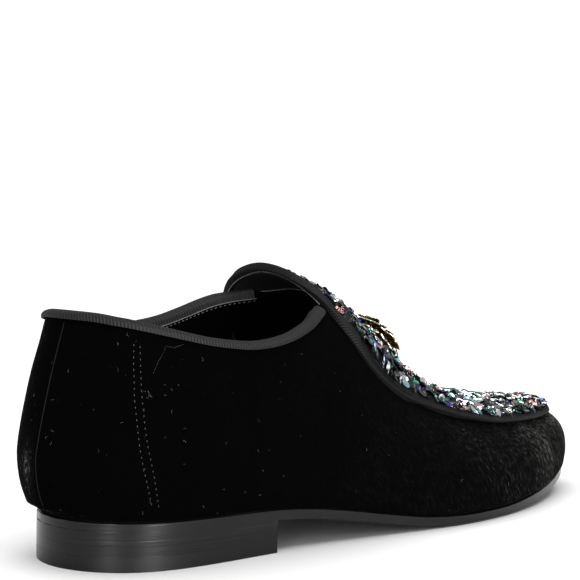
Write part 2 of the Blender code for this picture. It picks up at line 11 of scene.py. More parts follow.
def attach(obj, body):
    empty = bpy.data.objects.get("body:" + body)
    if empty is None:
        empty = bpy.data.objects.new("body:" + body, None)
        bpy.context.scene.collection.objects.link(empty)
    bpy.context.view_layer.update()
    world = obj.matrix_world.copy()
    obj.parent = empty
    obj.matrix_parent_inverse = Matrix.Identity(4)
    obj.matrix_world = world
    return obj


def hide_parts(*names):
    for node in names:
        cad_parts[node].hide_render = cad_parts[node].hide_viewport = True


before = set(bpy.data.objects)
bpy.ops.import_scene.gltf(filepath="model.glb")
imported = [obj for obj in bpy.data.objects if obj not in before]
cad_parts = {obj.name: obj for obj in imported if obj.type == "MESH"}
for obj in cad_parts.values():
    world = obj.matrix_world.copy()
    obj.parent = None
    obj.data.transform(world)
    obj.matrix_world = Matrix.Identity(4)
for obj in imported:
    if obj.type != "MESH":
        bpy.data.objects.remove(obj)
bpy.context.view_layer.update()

MM = 0.001

# Camera of the photograph: behind the outer side of the heel, a little over the floor
CAMERA_PLACE = Vector((-385.23, -469.14, 129.48)) * MM
CAMERA_YAW = math.radians(44.66)
CAMERA_PITCH = math.radians(2.90)
CAMERA_ROLL = math.radians(0.908)
SENSOR_MM = 36.0
IMAGE_SIDE = 580
FOCAL_MM = 101.26

# Middle line of the shoe: x, how far it lies to the inner side
SPINE = [(-3.8, 0.0), (39.0, 3.3), (74.7, 5.7), (110.5, 6.0), (164.1, 5.1), (229.7, 4.5)]
SPINE_HEIGHT = 30 * MM

# Top edge of the collar over the floor: x, outer side, inner side
ToplineRow = namedtuple("ToplineRow", "x lateral medial")
TOPLINE = [
    ToplineRow(-47.4, 92.8, 92.8),
    ToplineRow(-35.5, 91.6, 91.6),
    ToplineRow(-14.7, 86.2, 87.6),
    ToplineRow(6.2, 81.4, 84.5),
    ToplineRow(21.1, 79.7, 82.5),
    ToplineRow(36.0, 81.0, 84.3),
    ToplineRow(50.9, 84.6, 87.9),
    ToplineRow(65.8, 90.2, 92.8),
    ToplineRow(86.7, 97.0, 97.3),
]
TOPLINE_SPREAD = 37.0

# Outer edge of the plug in plan: x, outer side, inner side, both from the spine
PlugRow = namedtuple("PlugRow", "x lateral medial")
PLUG = [
    PlugRow(65.1, 14.0, 13.3),
    PlugRow(69.5, 29.4, 26.6),
    PlugRow(75.1, 38.5, 30.1),
    PlugRow(84.3, 42.7, 31.2),
    PlugRow(106.3, 42.7, 31.5),
    PlugRow(137.6, 42.4, 31.9),
    PlugRow(167.0, 41.3, 32.2),
    PlugRow(192.8, 36.8, 30.1),
    PlugRow(218.6, 28.0, 25.2),
    PlugRow(238.8, 17.5, 16.8),
]
PLUG_BACK = 64.0
PLUG_FRONT = 248.0

UP = Vector((0, 0, 1))


def linear(code):
    """A colour from its sRGB hex code."""
    channels = [int(code[i:i + 2], 16) / 255 for i in (1, 3, 5)]
    return [c / 12.92 if c <= 0.04045 else ((c + 0.055) / 1.055) ** 2.4 for c in channels] + [1]


def add_node(tree, kind, settings=None, sockets=None, links=None):
    """A node with its settings, the values of its sockets and its incoming links."""
    made = tree.nodes.new(kind)
    for name, value in (settings or {}).items():
        setattr(made, name, value)
    for name, value in (sockets or {}).items():
        made.inputs[name].default_value = value
    for name, source in (links or {}).items():
        tree.links.new(source, made.inputs[name])
    return made


def new_material(name, **sockets):
    """A Principled material; returns it with its node tree and shader."""
    made = bpy.data.materials.new(name)
    made.use_nodes = True
    shader = made.node_tree.nodes["Principled BSDF"]
    for socket, value in sockets.items():
        shader.inputs[socket.replace("_", " ")].default_value = value
    return made, made.node_tree, shader


def deselect():
    bpy.ops.object.select_all(action="DESELECT")


def activate(piece):
    deselect()
    piece.select_set(True)
    bpy.context.view_layer.objects.active = piece


def settle(piece):
    """Puts the piece's place into its mesh."""
    activate(piece)
    bpy.ops.object.transform_apply(location=True, rotation=True, scale=True)


def apply_modifier(piece, kind, **settings):
    activate(piece)
    modifier = piece.modifiers.new(kind.title(), kind)
    for name, value in settings.items():
        setattr(modifier, name, value)
    bpy.ops.object.modifier_apply(modifier=modifier.name)


def dress(piece, slot, *materials, replaces=()):
    """Gives the piece its materials and its body, and hides what it stands for; the slot is not used."""
    if materials:
        piece.data.materials.clear()
        for made in materials:
            piece.data.materials.append(made)
    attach(piece, "root")
    if replaces:
        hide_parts(*replaces)
    return piece


def merged_copy(node, name):
    """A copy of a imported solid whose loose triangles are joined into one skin."""
    deselect()
    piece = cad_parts[node].copy()
    piece.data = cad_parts[node].data.copy()
    for key in list(piece.keys()):
        if key.startswith("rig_"):
            del piece[key]
    piece.parent = None
    piece.name = piece.data.name = name
    bpy.context.scene.collection.objects.link(piece)
    activate(piece)
    if piece.data.has_custom_normals:
        bpy.ops.mesh.customdata_custom_splitnormals_clear()
    bpy.ops.object.mode_set(mode="EDIT")
    bpy.ops.mesh.select_all(action="SELECT")
    bpy.ops.mesh.remove_doubles(threshold=0.01 * MM)
    bpy.ops.object.mode_set(mode="OBJECT")
    return piece


def smooth(piece, degrees=35):
    activate(piece)
    bpy.ops.object.shade_smooth_by_angle(angle=math.radians(degrees))


def rounded_out(piece, levels, sharpness=40):
    """Turns the skin's triangles to quads and rounds it by subdivision, its sharp edges kept."""
    activate(piece)
    bpy.ops.object.mode_set(mode="EDIT")
    bpy.ops.mesh.select_all(action="SELECT")
    bpy.ops.mesh.tris_convert_to_quads(face_threshold=math.radians(30), shape_threshold=math.radians(60))
    bpy.ops.mesh.select_mode(type="EDGE")
    bpy.ops.mesh.select_all(action="DESELECT")
    bpy.ops.mesh.edges_select_sharp(sharpness=math.radians(sharpness))
    bpy.ops.transform.edge_crease(value=1)
    bpy.ops.mesh.select_mode(type="VERT")
    bpy.ops.object.mode_set(mode="OBJECT")
    apply_modifier(piece, "SUBSURF", levels=levels, render_levels=levels)


def tree_of(piece):
    return BVHTree.FromPolygons([v.co for v in piece.data.vertices],
                                [p.vertices for p in piece.data.polygons])


def between(rows, at):
    """Values between the rows of a table on a smooth line, its first column the place."""
    at = min(max(at, rows[0][0]), rows[-1][0])
    i = max(k for k in range(len(rows) - 1) if rows[k][0] <= at)
    before, after = rows[max(i - 1, 0)], rows[min(i + 2, len(rows) - 1)]
    a, b = rows[i], rows[i + 1]
    t = (at - a[0]) / (b[0] - a[0])
    values = []
    for k in range(1, len(a)):
        slope_a = (b[k] - before[k]) / (b[0] - before[0]) * (b[0] - a[0])
        slope_b = (after[k] - a[k]) / (after[0] - a[0]) * (b[0] - a[0])
        values.append(a[k] * (1 + 2 * t) * (1 - t) ** 2 + slope_a * t * (1 - t) ** 2
                      + b[k] * t * t * (3 - 2 * t) + slope_b * t * t * (t - 1))
    return values


def spine_at(x):
    return between(SPINE, x)[0]


def resampled(points, count, closed):
    """The line through the points with this many points at even distances."""
    line = list(points) + ([points[0]] if closed else [])
    lengths = [0.0]
    for a, b in zip(line, line[1:]):
        lengths.append(lengths[-1] + (b - a).length)
    steps = count if closed else count - 1
    even, i = [], 0
    for k in range(count):
        at = lengths[-1] * k / steps
        while i < len(line) - 2 and lengths[i + 1] < at:
            i += 1
        share = (at - lengths[i]) / max(lengths[i + 1] - lengths[i], 1e-9)
        even.append(line[i].lerp(line[i + 1], min(share, 1)))
    return even


def evened(vectors, reach, closed):
    """Each vector the mean of its neighbours."""
    count = len(vectors)
    means = []
    for i in range(count):
        near = [i + k for k in range(-reach, reach + 1)]
        near = [k % count for k in near] if closed else [min(max(k, 0), count - 1) for k in near]
        means.append(sum((vectors[k] for k in near), Vector()) / len(near))
    return means


def swept_grid(name, rings, closed_path, closed_section):
    """A grid wrapped on the rings, its UV map in metres along and across them."""
    along, across = len(rings), len(rings[0])
    deselect()
    bpy.ops.mesh.primitive_grid_add(x_subdivisions=across - 1 + closed_section,
                                    y_subdivisions=along - 1 + closed_path, size=1)
    piece = bpy.context.active_object
    piece.name = piece.data.name = name
    columns, rows = across + closed_section, along + closed_path
    for j in range(rows):
        for i in range(columns):
            piece.data.vertices[j * columns + i].co = rings[j % along][i % across]
    lengths = [0.0]
    for j in range(1, rows):
        lengths.append(lengths[-1] + (rings[j % along][0] - rings[(j - 1) % along][0]).length)
    widths = [0.0]
    for i in range(1, columns):
        widths.append(widths[-1] + (rings[0][i % across] - rings[0][(i - 1) % across]).length)
    layer = piece.data.uv_layers.active or piece.data.uv_layers.new(name="UVMap")
    for loop in piece.data.loops:
        j, i = divmod(loop.vertex_index, columns)
        layer.data[loop.index].uv = (lengths[j], widths[i])
    if closed_path or closed_section:
        bpy.ops.object.mode_set(mode="EDIT")
        bpy.ops.mesh.select_all(action="SELECT")
        bpy.ops.mesh.remove_doubles(threshold=0.001 * MM)
        bpy.ops.object.mode_set(mode="OBJECT")
    return piece


def point_outwards(piece):
    activate(piece)
    bpy.ops.object.mode_set(mode="EDIT")
    bpy.ops.mesh.select_all(action="SELECT")
    bpy.ops.mesh.normals_make_consistent(inside=False)
    bpy.ops.object.mode_set(mode="OBJECT")


def placed(spot, along, normal):
    """Frame at the spot, X along and Z out along the normal."""
    side = normal.cross(along).normalized()
    axes = Matrix((side.cross(normal).normalized(), side, normal.normalized())).transposed()
    return Matrix.Translation(spot) @ axes.to_4x4()


def any_way(draw):
    return Vector((draw.uniform(-1, 1), draw.uniform(-1, 1), draw.uniform(-1, 1)))


def sown(name, model, places, keep=False):
    """Copies of the model at the places, joined in one mesh."""
    source = model.data
    corners, faces = [], []
    for place in places:
        base = len(corners)
        corners += [place @ v.co for v in source.vertices]
        faces += [[base + i for i in f.vertices] for f in source.polygons]
    mesh = bpy.data.meshes.new(name)
    mesh.from_pydata(corners, [], faces)
    if "ridge" in source.attributes:
        ridge = mesh.attributes.new("ridge", "FLOAT", "POINT")
        ridge.data.foreach_set("value", [a.value for a in source.attributes["ridge"].data] * len(places))
    piece = bpy.data.objects.new(name, mesh)
    bpy.context.scene.collection.objects.link(piece)
    if not keep:
        bpy.data.objects.remove(model)
    return piece


def stitch_model(length, radius):
    """One stitch, in millimetres: a rounded bit of thread along X."""
    deselect()
    bpy.ops.mesh.primitive_uv_sphere_add(segments=6, ring_count=4, radius=0.5)
    stitch = bpy.context.active_object
    stitch.scale = (length * MM, 2 * radius * MM, 2 * radius * MM)
    settle(stitch)
    return stitch


def stitched(line, pitch, slant):
    """Frames of stitches on a line of points, each of which has its way out and its way down."""
    count = max(2, int(sum((b[0] - a[0]).length for a, b in zip(line, line[1:])) / pitch))
    points = resampled([row[0] for row in line], count, False)
    frames = []
    for a, b in zip(points, points[1:]):
        middle = (a + b) / 2
        _, out, down = min(line, key=lambda row: (row[0] - middle).length_squared)
        frames.append(placed(middle, (b - a).normalized() + down * slant, out))
    return frames


def cord(name, points, radius, sides=6):
    """A round strand through the points, its ends closed."""
    rings = []
    side = None
    last = len(points) - 1
    turns = [2 * math.pi * k / sides for k in range(sides)]
    for i, point in enumerate(points):
        along = (points[min(i + 1, last)] - points[max(i - 1, 0)]).normalized()
        side = along.orthogonal() if side is None else side - along * side.dot(along)
        side.normalize()
        front = along.cross(side)
        ring = [point + (side * math.cos(a) + front * math.sin(a)) * radius for a in turns]
        if i == 0:
            rings.append([point - along * radius for _ in ring])
        rings.append(ring)
        if i == last:
            rings.append([point + along * radius for _ in ring])
    strand = swept_grid(name, rings, False, True)
    point_outwards(strand)
    smooth(strand, 60)
    return strand


# Camera, floor and light


def add_camera():
    """Places the camera; returns how it is turned."""
    deselect()
    bpy.ops.object.camera_add(location=CAMERA_PLACE)
    camera = bpy.context.active_object
    camera.name = "photo_camera"
    turn = Matrix.Rotation(-CAMERA_YAW, 3, "Z") @ Matrix.Rotation(math.pi / 2 - CAMERA_PITCH, 3, "X")
    turn = turn @ Matrix.Rotation(CAMERA_ROLL, 3, "Z")
    camera.rotation_euler = turn.to_euler()
    camera.data.sensor_width = SENSOR_MM
    camera.data.lens = FOCAL_MM
    camera.data.clip_start = 0.01
    camera.data.clip_end = 50
    bpy.context.scene.camera = camera
    return turn


def sight(turn, px, py):
    """Direction from the camera through a point of the photograph."""
    scale = SENSOR_MM / FOCAL_MM / IMAGE_SIDE
    half = IMAGE_SIDE / 2
    return (turn @ Vector(((px - half) * scale, (half - py) * scale, -1))).normalized()


FLOOR_SIDE = 12
BACKDROP_LIGHT = 1.05
ROOM_LIGHT = 0.42
CEILING_LIGHT = 2.95
CEILING_SPREAD = math.radians(68)

# Upright lamps that only draw the bright bands on the heel: where, towards what, width and height, watts
Strip = namedtuple("Strip", "name place target size watts")
STRIPS = [
    Strip("left_strip", (-1.0, -0.65, 0.35), (-0.03, -0.02, 0.02), (0.24, 0.9), 38),
    Strip("right_strip", (-0.13, -1.2, 0.35), (-0.01, -0.03, 0.02), (0.36, 0.9), 72),
]


def add_strip(strip):
    deselect()
    bpy.ops.object.light_add(type="AREA", location=strip.place)
    light = bpy.context.active_object
    light.name = strip.name
    way = Vector(strip.target) - Vector(strip.place)
    light.rotation_euler = way.to_track_quat("-Z", "Y").to_euler()
    light.data.shape = "RECTANGLE"
    light.data.size, light.data.size_y = strip.size
    light.data.energy = strip.watts
    light.visible_diffuse = False


def add_stage():
    deselect()
    bpy.ops.mesh.primitive_plane_add(size=FLOOR_SIDE, location=(0, 0, 0))
    floor = bpy.context.active_object
    floor.name = "studio_floor"
    # Matt white paper, so the shoe's shadow stays soft and light
    paper, _, _ = new_material("white_paper", Base_Color=linear("#F4F4F4"), Roughness=0.9)
    floor.data.materials.append(paper)
    world = bpy.data.worlds.new("studio")
    bpy.context.scene.world = world
    world.use_nodes = True
    tree = world.node_tree
    backdrop = tree.nodes["Background"]
    backdrop.inputs["Color"].default_value = (1, 1, 1, 1)
    backdrop.inputs["Strength"].default_value = BACKDROP_LIGHT
    room = add_node(tree, "ShaderNodeBackground", sockets={"Color": (1, 1, 1, 1), "Strength": ROOM_LIGHT})
    seen = add_node(tree, "ShaderNodeLightPath")
    mix = add_node(tree, "ShaderNodeMixShader", links={0: seen.outputs["Is Camera Ray"],
                                                       1: room.outputs[0], 2: backdrop.outputs[0]})
    tree.links.new(mix.outputs[0], tree.nodes["World Output"].inputs["Surface"])
    deselect()
    bpy.ops.object.light_add(type="SUN", location=(0, 0, 2))
    ceiling = bpy.context.active_object
    ceiling.name = "ceiling_light"
    ceiling.data.energy = CEILING_LIGHT
    ceiling.data.angle = CEILING_SPREAD
    for strip in STRIPS:
        add_strip(strip)
    bpy.context.scene.view_settings.view_transform = "Standard"


# Materials


def bumped(tree, shader, height, strength, distance):
    bump = add_node(tree, "ShaderNodeBump", sockets={"Strength": strength, "Distance": distance},
                    links={"Height": height})
    tree.links.new(bump.outputs["Normal"], shader.inputs["Normal"])


def place_node(tree, scale):
    """Object coordinates stretched by the scale, which counts per metre."""
    spot = add_node(tree, "ShaderNodeTexCoord")
    return add_node(tree, "ShaderNodeMapping", {"vector_type": "POINT"}, {"Scale": scale},
                    {"Vector": spot.outputs["Object"]})


def noise(tree, scale, detail=2.0, stretch=(1, 1, 1)):
    """Noise on object coordinates, its scale per metre."""
    spot = place_node(tree, stretch)
    return add_node(tree, "ShaderNodeTexNoise", sockets={"Scale": scale, "Detail": detail},
                    links={"Vector": spot.outputs[0]})


def painted(tree, shader, factor, *stops):
    """Colours the shader by a ramp through the stops, each a place and a hex colour."""
    made = add_node(tree, "ShaderNodeValToRGB", links={"Fac": factor})
    elements = made.color_ramp.elements
    elements[0].position, elements[0].color = stops[0][0], linear(stops[0][1])
    elements[1].position, elements[1].color = stops[-1][0], linear(stops[-1][1])
    for place, code in stops[1:-1]:
        elements.new(place).color = linear(code)
    tree.links.new(made.outputs["Color"], shader.inputs["Base Color"])


def velvet():
    """Cotton velvet, dyed black: drinks the light but for streaks where the pile leans."""
    made, tree, shader = new_material("black_velvet", Roughness=0.95)
    # Barely any gloss: the light sinks between the fibres
    shader.inputs["Specular IOR Level"].default_value = 0.01
    shader.inputs["Sheen Weight"].default_value = 0.028
    shader.inputs["Sheen Roughness"].default_value = 0.25
    shader.inputs["Sheen Tint"].default_value = linear("#9A9A98")
    lean = place_node(tree, (1, 1, 1))
    lean.inputs["Rotation"].default_value = (0, math.radians(33), 0)
    # Streaks about 1 mm wide and 4 mm long, down and towards the toe
    long = add_node(tree, "ShaderNodeMapping", {"vector_type": "POINT"}, {"Scale": (1100, 800, 270)},
                    {"Vector": lean.outputs[0]})
    streaks = add_node(tree, "ShaderNodeTexNoise", sockets={"Scale": 1.0, "Detail": 4.0, "Roughness": 0.65},
                       links={"Vector": long.outputs[0]})
    patches = noise(tree, 34.0, 3.0, (1, 1, 0.6))
    spot = add_node(tree, "ShaderNodeTexCoord")
    split = add_node(tree, "ShaderNodeSeparateXYZ", links={0: spot.outputs["Object"]})
    fore = add_node(tree, "ShaderNodeMapRange",
                    sockets={"From Min": 0.02, "From Max": 0.24, "To Min": 0.3, "To Max": 1.0},
                    links={"Value": split.outputs["X"]})
    # Painted sheen: a lighter patch painted over the back of the heel, where the pile catches the light
    fade = (90, 110, 50)
    sheen_spot = add_node(tree, "ShaderNodeMapping", {"vector_type": "POINT"}, {"Scale": fade},
                   {"Vector": spot.outputs["Object"]})
    sheen_spot.inputs["Location"].default_value = (0.046 * fade[0], -0.007 * fade[1], -0.036 * fade[2])
    sheen_patch = add_node(tree, "ShaderNodeTexGradient", {"gradient_type": "SPHERICAL"},
                       links={"Vector": sheen_spot.outputs[0]})
    soft = add_node(tree, "ShaderNodeMath", {"operation": "MULTIPLY_ADD"}, {1: 0.5, 2: 0.25},
                    {0: patches.outputs["Fac"]})
    # The painted sheen patch, which lightens the streaks over the back of the heel
    light = add_node(tree, "ShaderNodeMath", {"operation": "MULTIPLY"}, {1: 0.42},
                     {0: sheen_patch.outputs["Fac"]})
    # Random nap patches, stronger towards the toe, plus the painted sheen patch
    nap_and_sheen = add_node(tree, "ShaderNodeMath", {"operation": "MULTIPLY_ADD"},
                    links={0: soft.outputs[0], 1: fore.outputs[0], 2: light.outputs[0]})
    both = add_node(tree, "ShaderNodeMath", {"operation": "MULTIPLY"},
                    links={0: streaks.outputs["Fac"], 1: nap_and_sheen.outputs[0]})
    painted(tree, shader, both.outputs[0], (0.05, "#000000"), (0.14, "#030303"), (0.21, "#0D0D0D"),
            (0.28, "#333331"), (0.36, "#7C7C79"))
    pile = noise(tree, 1100.0, 3.0, (1, 1, 0.6))
    bumped(tree, shader, pile.outputs["Fac"], 0.5, 0.4 * MM)
    return made


def felt():
    """Brushed nylon lining: dull black with a short fuzz."""
    made, tree, shader = new_material("lining_felt", Roughness=0.95)
    shader.inputs["Specular IOR Level"].default_value = 0.1
    fuzz = noise(tree, 900.0, 3.0)
    painted(tree, shader, fuzz.outputs["Fac"], (0.35, "#020202"), (0.7, "#0B0B0B"))
    bumped(tree, shader, fuzz.outputs["Fac"], 0.4, 0.3 * MM)
    return made


RIB_PITCH = 1.3 * MM


def grosgrain(name, light, dark, slant, gloss):
    """Rayon grosgrain: close cross ribs, each with a line of painted highlight on its crest and painted
    shade between.
    """
    made, tree, shader = new_material(name, Roughness=0.66)
    shader.inputs["Specular IOR Level"].default_value = gloss
    shader.inputs["Sheen Weight"].default_value = 0.025
    uv = add_node(tree, "ShaderNodeUVMap")
    split = add_node(tree, "ShaderNodeSeparateXYZ", links={0: uv.outputs[0]})
    lean = add_node(tree, "ShaderNodeMath", {"operation": "MULTIPLY_ADD"}, {1: slant},
                    {0: split.outputs["Y"], 2: split.outputs["X"]})
    phase = add_node(tree, "ShaderNodeMath", {"operation": "MULTIPLY"},
                     {1: 2 * math.pi / RIB_PITCH}, {0: lean.outputs[0]})
    wave = add_node(tree, "ShaderNodeMath", {"operation": "SINE"}, links={0: phase.outputs[0]})
    rib = add_node(tree, "ShaderNodeMath", {"operation": "MULTIPLY_ADD"}, {1: 0.5, 2: 0.5},
                   {0: wave.outputs[0]})
    # The light and dark colours are the painted highlight on each rib and the painted shade between the
    # ribs
    painted(tree, shader, rib.outputs[0], (0.2, dark), (0.85, light))
    bumped(tree, shader, rib.outputs[0], 0.9, 0.2 * MM)
    return made


def sole_leather():
    """Edge-inked leather, brushed along the edge: a dark satin with fine level lines."""
    made, tree, shader = new_material("inked_leather", Roughness=0.25)
    shader.inputs["Specular IOR Level"].default_value = 0.21
    lines = noise(tree, 1.0, 5.0, (22, 22, 1500))
    mottle = noise(tree, 220.0, 3.0, (1, 1, 1.6))
    grain = add_node(tree, "ShaderNodeMath", {"operation": "MULTIPLY_ADD"}, {1: 0.25},
                     {0: mottle.outputs["Fac"], 2: lines.outputs["Fac"]})
    painted(tree, shader, grain.outputs[0], (0.48, "#080808"), (0.66, "#0D0D0D"), (0.82, "#191918"))
    bumped(tree, shader, lines.outputs["Fac"], 0.35, 0.15 * MM)
    return made


def rubber():
    """Moulded rubber lift: even black, low gloss."""
    made, tree, shader = new_material("moulded_rubber", Roughness=0.3)
    shader.inputs["Specular IOR Level"].default_value = 0.21
    pits = noise(tree, 700.0)
    painted(tree, shader, pits.outputs["Fac"], (0.3, "#070707"), (0.7, "#0D0D0D"))
    bumped(tree, shader, pits.outputs["Fac"], 0.1, 0.1 * MM)
    return made


def sock_leather():
    """Kid leather sock: soft black with a fine grain."""
    made, tree, shader = new_material("kid_leather", Roughness=0.6)
    grain = add_node(tree, "ShaderNodeTexVoronoi", sockets={"Scale": 900.0},
                     links={"Vector": place_node(tree, (1, 1, 1)).outputs[0]})
    painted(tree, shader, grain.outputs["Distance"], (0.0, "#0C0C0C"), (0.6, "#141414"))
    bumped(tree, shader, grain.outputs["Distance"], 0.2, 0.1 * MM)
    return made


def antique_brass():
    """Cast brass, oxidised in the hollows and rubbed bright on the ridges of the leaves."""
    made, tree, shader = new_material("antique_brass", Metallic=1.0)
    ridge = add_node(tree, "ShaderNodeAttribute", {"attribute_name": "ridge"})
    blotch = noise(tree, 420.0, 3.0)
    rubbed = add_node(tree, "ShaderNodeMath", {"operation": "MULTIPLY_ADD"}, {1: 0.7},
                      {0: blotch.outputs["Fac"], 2: ridge.outputs["Fac"]})
    painted(tree, shader, rubbed.outputs[0], (0.30, "#120E09"), (0.55, "#3B3020"), (0.85, "#8D7B55"),
            (0.958, "#E6D8AE"), (1.0, "#FBF3D8"))
    rough = add_node(tree, "ShaderNodeMapRange", sockets={"To Min": 0.55, "To Max": 0.22},
                     links={"Value": rubbed.outputs[0]})
    tree.links.new(rough.outputs[0], shader.inputs["Roughness"])
    return made


def bead_glass():
    """Pressed black glass: near mirror gloss over black."""
    made, _, _ = new_material("black_glass", Base_Color=linear("#050506"), Roughness=0.05)
    return made


def mesh_ground():
    """Black net that the sequins are sewn on."""
    made, tree, shader = new_material("sequin_ground", Roughness=0.8)
    shader.inputs["Specular IOR Level"].default_value = 0.1
    net = add_node(tree, "ShaderNodeTexVoronoi", sockets={"Scale": 800.0},
                   links={"Vector": place_node(tree, (1, 1, 1)).outputs[0]})
    painted(tree, shader, net.outputs["Distance"], (0.1, "#040404"), (0.6, "#0E0E10"))
    bumped(tree, shader, net.outputs["Distance"], 0.5, 0.3 * MM)
    return made


def foil(name, code, metallic, roughness):
    """Metallised film of a sequin, its sheen broken by the dents of the stamping."""
    made, tree, shader = new_material(name, Base_Color=linear(code), Metallic=metallic, Roughness=roughness)
    shader.inputs["Coat Weight"].default_value = 0.6
    shader.inputs["Coat Roughness"].default_value = 0.05
    dents = noise(tree, 650.0)
    bumped(tree, shader, dents.outputs["Fac"], 0.55, 0.35 * MM)
    return made


def thread(name, code):
    """Polyester thread: a dull twisted strand."""
    made, tree, shader = new_material(name, Roughness=0.7)
    twist = noise(tree, 1500.0)
    painted(tree, shader, twist.outputs["Fac"], (0.3, "#050505"), (0.6, code))
    return made


def velvet_edge():
    """Folded velvet of a closed seam, its pile pressed up to the light."""
    made, tree, shader = new_material("seam_velvet", Roughness=0.9)
    shader.inputs["Specular IOR Level"].default_value = 0.1
    pile = noise(tree, 900.0, 3.0, (1, 1, 0.5))
    painted(tree, shader, pile.outputs["Fac"], (0.35, "#030303"), (0.7, "#0F0F0F"))
    return made


def lint_fibre():
    """Cotton fluff: fine fibres from grey to off-white."""
    made, tree, shader = new_material("cotton_lint", Roughness=0.9)
    shade = noise(tree, 90.0)
    painted(tree, shader, shade.outputs["Fac"], (0.35, "#1C1C1B"), (0.65, "#8C8C88"))
    return made


# The shoe


SPINE_END = 225 * MM


def radial(point):
    """From the shoe's middle line out to the point."""
    x = min(max(point.x, 0.0), SPINE_END)
    return point - Vector((x, spine_at(x / MM) * MM, SPINE_HEIGHT))


# An upright face that sees another wall within the shoe's width is on the inside
SHOE_WIDTH = 0.12
UPRIGHT = 0.3
CLEAR = 0.4 * MM


def faces_in(piece):
    """Marks the faces that look to the inside of the shoe as lining."""
    skin = tree_of(piece)
    for face in piece.data.polygons:
        level = Vector((face.normal.x, face.normal.y, 0))
        start = face.center + level * CLEAR
        facing = level.length > UPRIGHT and skin.ray_cast(start, level, SHOE_WIDTH)[0]
        if facing or face.normal.dot(radial(face.center)) < 0:
            face.material_index = 1


FOOT_REACH = 4 * MM
FOOT_OUT = 0.8 * MM
FOOT_DOWN = 0.4 * MM


def foot_on_sole(upper):
    """Lets the velvet's lower edge swell out and down onto the sole."""
    sole = tree_of(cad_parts["outsole"])
    for v in upper.data.vertices:
        gap = sole.find_nearest(v.co)[3]
        if gap < FOOT_REACH:
            out = radial(v.co)
            out.z = 0
            v.co += (out.normalized() * FOOT_OUT - UP * FOOT_DOWN) * (1 - gap / FOOT_REACH)


def add_upper():
    upper = merged_copy("upper", "velvet_upper")
    rounded_out(upper, 2)
    foot_on_sole(upper)
    faces_in(upper)
    smooth(upper, 50)
    return dress(upper, "upper", velvet(), felt(), replaces=["upper"])


def rounded_section(half_width, half_depth, rounding, steps):
    """A rounded rectangle as (across, up) pairs, counterclockwise."""
    section = []
    for corner, (sx, sy) in enumerate([(1, 1), (-1, 1), (-1, -1), (1, -1)]):
        for k in range(steps + 1):
            angle = math.pi / 2 * (corner + k / steps)
            section.append((sx * (half_width - rounding) + rounding * math.cos(angle),
                            sy * (half_depth - rounding) + rounding * math.sin(angle)))
    return section


CURVE_STEPS = 12
PLAN_POINTS = 240


def plug_plan():
    """The plug's outer edge in plan, round from the tongue by the outer side."""
    rows = [PlugRow(PLUG_BACK, 0, 0), *PLUG, PlugRow(PLUG_FRONT, 0, 0)]
    points = [Vector((row.x, spine_at(row.x) - row.lateral, 0)) for row in rows]
    points += [Vector((row.x, spine_at(row.x) + row.medial, 0)) for row in rows[-2:0:-1]]
    curve = []
    count = len(points)
    for i in range(count):
        p0, p1, p2, p3 = (points[(i + k) % count] for k in (-1, 0, 1, 2))
        d1, d2, d3 = ((b - a).length ** 0.5 for a, b in ((p0, p1), (p1, p2), (p2, p3)))
        m1 = (p2 - p1) + d2 * ((p1 - p0) / d1 - (p2 - p0) / (d1 + d2))
        m2 = (p2 - p1) + d2 * ((p3 - p2) / d3 - (p3 - p1) / (d2 + d3))
        for k in range(CURVE_STEPS):
            t = k / CURVE_STEPS
            curve.append((p1 * (1 + 2 * t) * (1 - t) ** 2 + m1 * t * (1 - t) ** 2
                          + p2 * t * t * (3 - 2 * t) + m2 * t * t * (t - 1)) * MM)
    return resampled(curve, PLAN_POINTS, True)


Path = namedtuple("Path", "points normals inwards")
EDGE_INSET = 0.5 * MM
PATH_INSET = 1.3 * MM
# Height over the shoe that rays come down from
OVERHEAD = 0.2


def plug_path(binding):
    """Middle of the plug's binding on its top face, with the normals and the inward ways."""
    band = tree_of(binding)
    plan = plug_plan()
    count = len(plan)
    points, normals = [], []
    for i, spot in enumerate(plan):
        ahead, back = plan[(i + 1) % count], plan[i - 1]
        along = (ahead - back).normalized()
        inward = UP.cross(along)
        start = spot + inward * EDGE_INSET
        hit, normal, _, _ = band.ray_cast(Vector((start.x, start.y, OVERHEAD)), -UP)
        if hit is None:
            hit, normal, _, _ = band.find_nearest(Vector((start.x, start.y, OVERHEAD / 2)))
        points.append(hit)
        normals.append(normal)
    for inset in (PATH_INSET, 0):
        points = evened(points, 2, True)
        normals = [n.normalized() for n in evened(normals, 5, True)]
        alongs = [(points[(i + 1) % count] - points[i - 1]).normalized() for i in range(count)]
        inwards = [n.cross(t).normalized() for n, t in zip(normals, alongs)]
        points = [p + w * inset for p, w in zip(points, inwards)]
    return Path(points, normals, inwards)


# The plug's ribbon in millimetres, thicker round the tongue
BINDING_HALF_WIDTH = 1.65
BINDING_HALF_DEPTH = 0.8
BINDING_ROUNDING = 0.7
BINDING_PROUD = 0.1
TONGUE_HALF_DEPTH = 1.4
TONGUE_SIDE = 84 * MM
TONGUE_EASE = 20 * MM
TONGUE_LOW = 91 * MM


